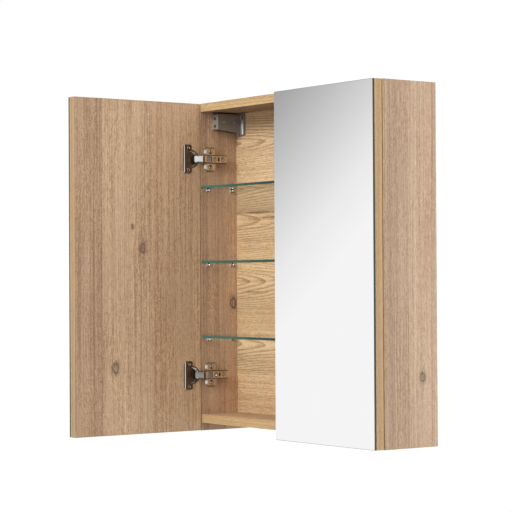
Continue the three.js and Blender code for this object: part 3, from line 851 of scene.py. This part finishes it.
def add_cup_fittings(dark_nickel, cup_painted_reflection, bright, black):
    """The two screws of each cup's flange, the polished lip of its free edge and a bead round its mouth."""
    lip = prism("lip", [(0, 0.4), (0.5, 0.4), (LIP["width"], 2.2), (LIP["width"], 2.8), (2.4, 2.9),
                        (0, 1.0)], LIP["length"])
    arc = [math.radians(BEAD["half_angle"] * (step / 12 - 1)) for step in range(25)]
    rim = [(BEAD["outer"] * math.cos(a), BEAD["outer"] * math.sin(a)) for a in arc]
    rim += [(BEAD["inner"] * math.cos(a), BEAD["inner"] * math.sin(a)) for a in reversed(arc)]
    bead = prism("bead", rim, BEAD["height"])
    for hand in HANDS:
        out, toward_hinge = (ALONG_X, ALONG_Y) if hand == "left" else (ALONG_Y, ALONG_X)
        body = hand + "_door"
        for level in LEVELS:
            name = f"{hand}_{level}"
            low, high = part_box(name + "_hinge_cup")
            edge = (low + high) / 2
            if hand == "left":
                edge.x, edge.y = high.x, low.y
            else:
                edge.x, edge.y = low.x, high.y
            seat = edge + toward_hinge * FLANGE_SCREW_IN * MM
            for sign, end in ((1, "top"), (-1, "bottom")):
                centre = seat + UP * sign * FLANGE_SCREW_PITCH / 2 * MM
                add_screw(f"{name}_cup_screw_{end}", SCREWS["cup"], aim(centre, out, 0.5),
                          (dark_nickel, black), body)
            corner = edge - out * LIP["foot"] * MM - UP * LIP["length"] / 2 * MM
            place = stand(corner, toward_hinge, out, UP)
            add_piece(name + "_cup_lip", lip, place, bright, body, 0.15)
            mouth = edge + toward_hinge * BEAD["in"] * MM
            place = stand(mouth, -toward_hinge, UP, out)
            add_piece(name + "_cup_bead", bead, place, cup_painted_reflection, body, 0.15)


def damper_mesh():
    """A ribbed block whose top lies at x = 0."""
    pitch = (DAMPER["to"] - DAMPER["from"]) / DAMPER["ribs"]
    ridge = [(-DAMPER["depth"], DAMPER["from"]), (-DAMPER["depth"], DAMPER["to"])]
    for rib in reversed(range(DAMPER["ribs"])):
        start = DAMPER["from"] + rib * pitch
        ridge += [(-0.9, start + pitch), (0, start + 0.75 * pitch), (0, start + 0.25 * pitch), (-0.9, start)]
    return prism("damper", ridge, 2 * DAMPER["half"])


def add_arm_fittings(hand, level, meshes, finishes):
    """One arm's two adjusting screws, the damper in its window and a black block in the slot between the
    screws, as painted shade.
    """
    seat, damper, painted_slot_shade = meshes
    bright, dark_nickel, slate, black = finishes
    way = inward(hand)
    arm = f"{hand}_{level}_hinge_arm"
    low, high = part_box(arm)
    roof = Vector((inner_face(arm, hand), low.y + ARM_NOSE * MM, (low.z + high.z) / 2))
    for number, at in enumerate(ARM_SCREWS_AT):
        rim = roof + ALONG_Y * at * MM
        centre = rim - way * ARM_SCREW_SUNK * MM
        name = f"{hand}_{level}_arm_screw_{number + 1}"
        add_screw(name, SCREWS["arm"], aim(centre, way, 0.3 + number), (bright, black),
                  "cabinet")
        add_piece(name + "_seat", seat, aim(rim, way), dark_nickel, "cabinet")
    corner = roof - way * ARM_SHEET * MM - UP * DAMPER["half"] * MM
    flip = Matrix.Scale(way.x, 4, ALONG_X)
    add_piece(f"{hand}_{level}_damper", damper, Matrix.Translation(corner) @ flip, slate,
              "cabinet", 0.15)
    # A black block in the slot of the arm's roof, as painted shade.
    corner = roof + Vector((0, PAINTED_SLOT_SHADE["at"] * MM, -PAINTED_SLOT_SHADE["half"] * MM)) - way * PAINTED_SLOT_SHADE["sunk"] * MM
    add_piece(f"{hand}_{level}_arm_catch", painted_slot_shade, stand(corner, ALONG_Y, way, UP), black,
              "cabinet", 0.15)


def add_plate_fittings(hand, level, meshes, finishes):
    """The screw and the turned-up front lip of each wing of one mounting plate."""
    seat, lip = meshes
    bright, dark_nickel, black = finishes
    way = inward(hand)
    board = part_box(hand + "_side_panel")[1 if hand == "left" else 0].x
    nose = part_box(f"{hand}_{level}_hinge_arm")[0].y + ARM_NOSE * MM
    low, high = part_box(f"{hand}_{level}_hinge_plate")
    middle = (low.z + high.z) / 2
    for sign, end in ((1, "top"), (-1, "bottom")):
        centre = Vector((board + way.x * PLATE_SCREW["wing"] * MM, nose + PLATE_SCREW["at"] * MM,
                         middle + sign * PLATE_SCREW["half_pitch"] * MM))
        name = f"{hand}_{level}_plate_screw_{end}"
        add_screw(name, SCREWS["plate"], aim(centre, way, 0.8 * sign), (bright, black), "cabinet")
        add_piece(name + "_seat", seat, aim(centre, way), dark_nickel, "cabinet")
        corner = Vector((board, low.y + WING_LIP["in"] * MM,
                         middle + sign * WING_LIP["at"] * MM - WING_LIP["length"] / 2 * MM))
        add_piece(f"{hand}_{level}_wing_lip_{end}", lip, stand(corner, ALONG_Y, way, UP), bright,
                  "cabinet", 0.12)


def add_side_fittings(bright, dark_nickel, slate, black):
    """What the CAD model leaves out of the hinge halves that are fixed to the cabinet's sides."""
    seat = lathe("seat", SCREW_SEAT, 36)
    damper = damper_mesh()
    # The black block that paints the shade in each arm's slot.
    painted_slot_shade = prism("painted_slot_shade", [(-2.3, -0.4), (2.3, -0.4), (2.3, 1.2), (1.7, 1.45), (-1.7, 1.45), (-2.3, 1.2)],
                  2 * PAINTED_SLOT_SHADE["half"])
    lip = prism("wing_lip", [(-0.9, 0), (3.0, 0), (3.0, 3.3), (2.6, 3.4), (-0.9, 0.5)], WING_LIP["length"])
    for hand in HANDS:
        for level in LEVELS:
            add_arm_fittings(hand, level, (seat, damper, painted_slot_shade), (bright, dark_nickel, slate, black))
            add_plate_fittings(hand, level, (seat, lip), (bright, dark_nickel, black))


def add_pivot_heads(finish):
    """Swaged heads on the ends of the link pins, outside the arm's cheeks."""
    radius, height = PIVOT_HEAD["radius"], PIVOT_HEAD["height"]
    dome = [(radius * math.cos(a), height * math.sin(a)) for a in
            (math.radians(18 * step) for step in range(5))]
    head = lathe("pivot_head", [(0, 0), *dome, (0, height)], 28)
    for joint in frame["joints"]:
        if not joint["name"].endswith("_link_swing"):
            continue
        hand, which = joint["name"].split("_")[:2]
        for level in LEVELS:
            low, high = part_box(f"{hand}_{level}_hinge_arm")
            for sign, end in ((1, "top"), (-1, "bottom")):
                level_z = (low.z + high.z) / 2 + sign * (ARM_HALF + PIVOT_HEAD["gap"]) * MM
                centre = Vector((joint["pos_m"][X], joint["pos_m"][Y], level_z))
                name = f"{hand}_{level}_{which}_pin_{end}"
                add_piece(name, head, aim(centre, UP * sign), finish, joint["child"])


def add_hanger_fittings(satin, nylon, black):
    """The sunk adjusting screws of each hanger case, its rivets and the screw and bead on its flange."""
    collar = lathe("collar", HANGER_PAINTED_HOLE_SHADE, 32)
    rivet = lathe("rivet", [(0, -0.3), (1.3, -0.3), (1.3, 0), (1.1, 0.3), (0.6, 0.5), (0, 0.55)], 24)
    bead_profile = [(0, -16), (1.9, -15.4), (2.5, -14.6), (2.5, 14.6), (1.9, 15.4), (0, 16)]
    bead = lathe("bead", bead_profile, 24)
    for hand in HANDS:
        way = inward(hand)
        low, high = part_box(hand + "_hanger_housing")
        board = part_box(hand + "_side_panel")[1 if hand == "left" else 0].x
        for number, height in enumerate(HANGER_HOLES["heights"]):
            centre = Vector((board + way.x * HANGER_HOLES["in"] * MM, low.y + HANGER_HOLES["sunk"] * MM,
                             low.z + height * MM))
            name = f"{hand}_hanger_screw_{number + 1}"
            add_screw(name, SCREWS["hanger"], aim(centre, -ALONG_Y, 0.4), (black, black), "cabinet")
            # A black collar at the hole's mouth paints the shade in the hole.
            mouth = Vector((centre.x, low.y, centre.z))
            add_piece(name + "_collar", collar, aim(mouth, -ALONG_Y), black, "cabinet")
        for number, back in enumerate(HANGER_MARKS["back"]):
            centre = Vector((board + way.x * HANGER_WIDTH * MM, low.y + back * MM,
                             high.z - HANGER_MARKS["down"] * MM))
            name = f"{hand}_hanger_rivet_{number + 1}"
            add_piece(name, rivet, aim(centre, way), nylon, "cabinet")
        flange = Vector((board + way.x * HANGER_FLANGE["in"] * MM, high.y - HANGER_FLANGE["thick"] * MM,
                         high.z))
        centre = flange - UP * HANGER_FLANGE["screw_down"] * MM
        add_screw(hand + "_hanger_flange_screw", SCREWS["flange"], aim(centre, -ALONG_Y, 0.2),
                  (black, black), "cabinet")
        centre = flange - UP * HANGER_FLANGE["bead_down"] * MM
        add_piece(hand + "_hanger_flange_bead", bead, aim(centre, UP), satin, "cabinet")


def add_mirror_glue():
    """The adhesive sheet between each door board and its mirror."""
    glue = plastic("adhesive", grey(92), grey(74), 0.7)
    for hand, axis in (("left", X), ("right", Y)):
        low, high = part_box(hand + "_door_panel")
        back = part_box(hand + "_door_mirror")[1][axis]
        inset = GLUE["inset"] * MM
        across = Y if axis == X else X
        start, end = (low[across] + inset) / MM, (high[across] - inset) / MM
        near, far = back / MM + GLUE["near"], back / MM + GLUE["far"]
        outline = [(start, near), (end, near), (end, far), (start, far)]
        if axis == X:
            outline = [(y, x) for x, y in outline]
        sheet = prism(hand + "_glue", outline, (high.z - low.z - 2 * inset) / MM)
        place = Matrix.Translation((0, 0, low.z + inset))
        add_piece(hand + "_mirror_adhesive", sheet, place, glue, f"{hand}_door", 0.1)


def hide_open_door_from_mirror():
    """Keeps the open door out of the closed mirror, which shows the plain studio only."""
    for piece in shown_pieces():
        if "left_door" in body_of(piece):
            piece.visible_glossy = False


def main():
    add_camera()
    add_sky()
    add_key_light()
    add_floor()
    add_reflector()
    add_dark_cards()
    dark_nickel = metal("dark_nickel", srgb(150, 140, 130), srgb(112, 104, 96),
                        (srgb(138, 128, 118), srgb(96, 88, 80)), 0.16, 0.10)
    # The hinge cups' dark brown is a painted reflection of the dark oak inside the cabinet.
    cup_painted_reflection = metal("cup_painted_reflection", srgb(54, 45, 37), srgb(40, 33, 28),
                        (srgb(112, 100, 88), srgb(74, 64, 56)), 0.16, 0.10)
    bright = metal("bright_nickel", srgb(228, 226, 224), srgb(200, 198, 196),
                   (srgb(206, 202, 198), srgb(172, 168, 164)), 0.16, 0.10)
    worn = metal("worn_nickel", srgb(176, 174, 168), srgb(96, 94, 90),
                 (srgb(150, 146, 140), srgb(96, 92, 88)), 0.24, 0.16, dent=0.06)
    zinc = metal("dull_zinc", srgb(182, 176, 170), srgb(156, 150, 144),
                 (srgb(150, 144, 138), srgb(124, 118, 112)), 0.40, 0.16, 0.6, 0.04)
    satin = metal("satin_nickel", srgb(236, 236, 240), srgb(212, 212, 218),
                  (srgb(206, 202, 198), srgb(172, 168, 164)), 0.42, 0.10)
    # Black for screw heads, and the painted shade in screw recesses, arm slots and hanger holes.
    black = plastic("black_and_painted_shade", grey(30), grey(18))
    nylon = plastic("nylon", grey(214), grey(192))
    slate = plastic("slate_plastic", srgb(128, 130, 134), srgb(92, 94, 98))
    dress_boards()
    dress_glass()
    dress_metal(cup_painted_reflection, bright, worn, zinc)
    add_shelf_studs(bright)
    add_cup_fittings(dark_nickel, cup_painted_reflection, bright, black)
    add_side_fittings(bright, dark_nickel, slate, black)
    add_pivot_heads(nickel("nickel"))
    add_hanger_fittings(satin, nylon, black)
    add_mirror_glue()
    hide_open_door_from_mirror()


main()
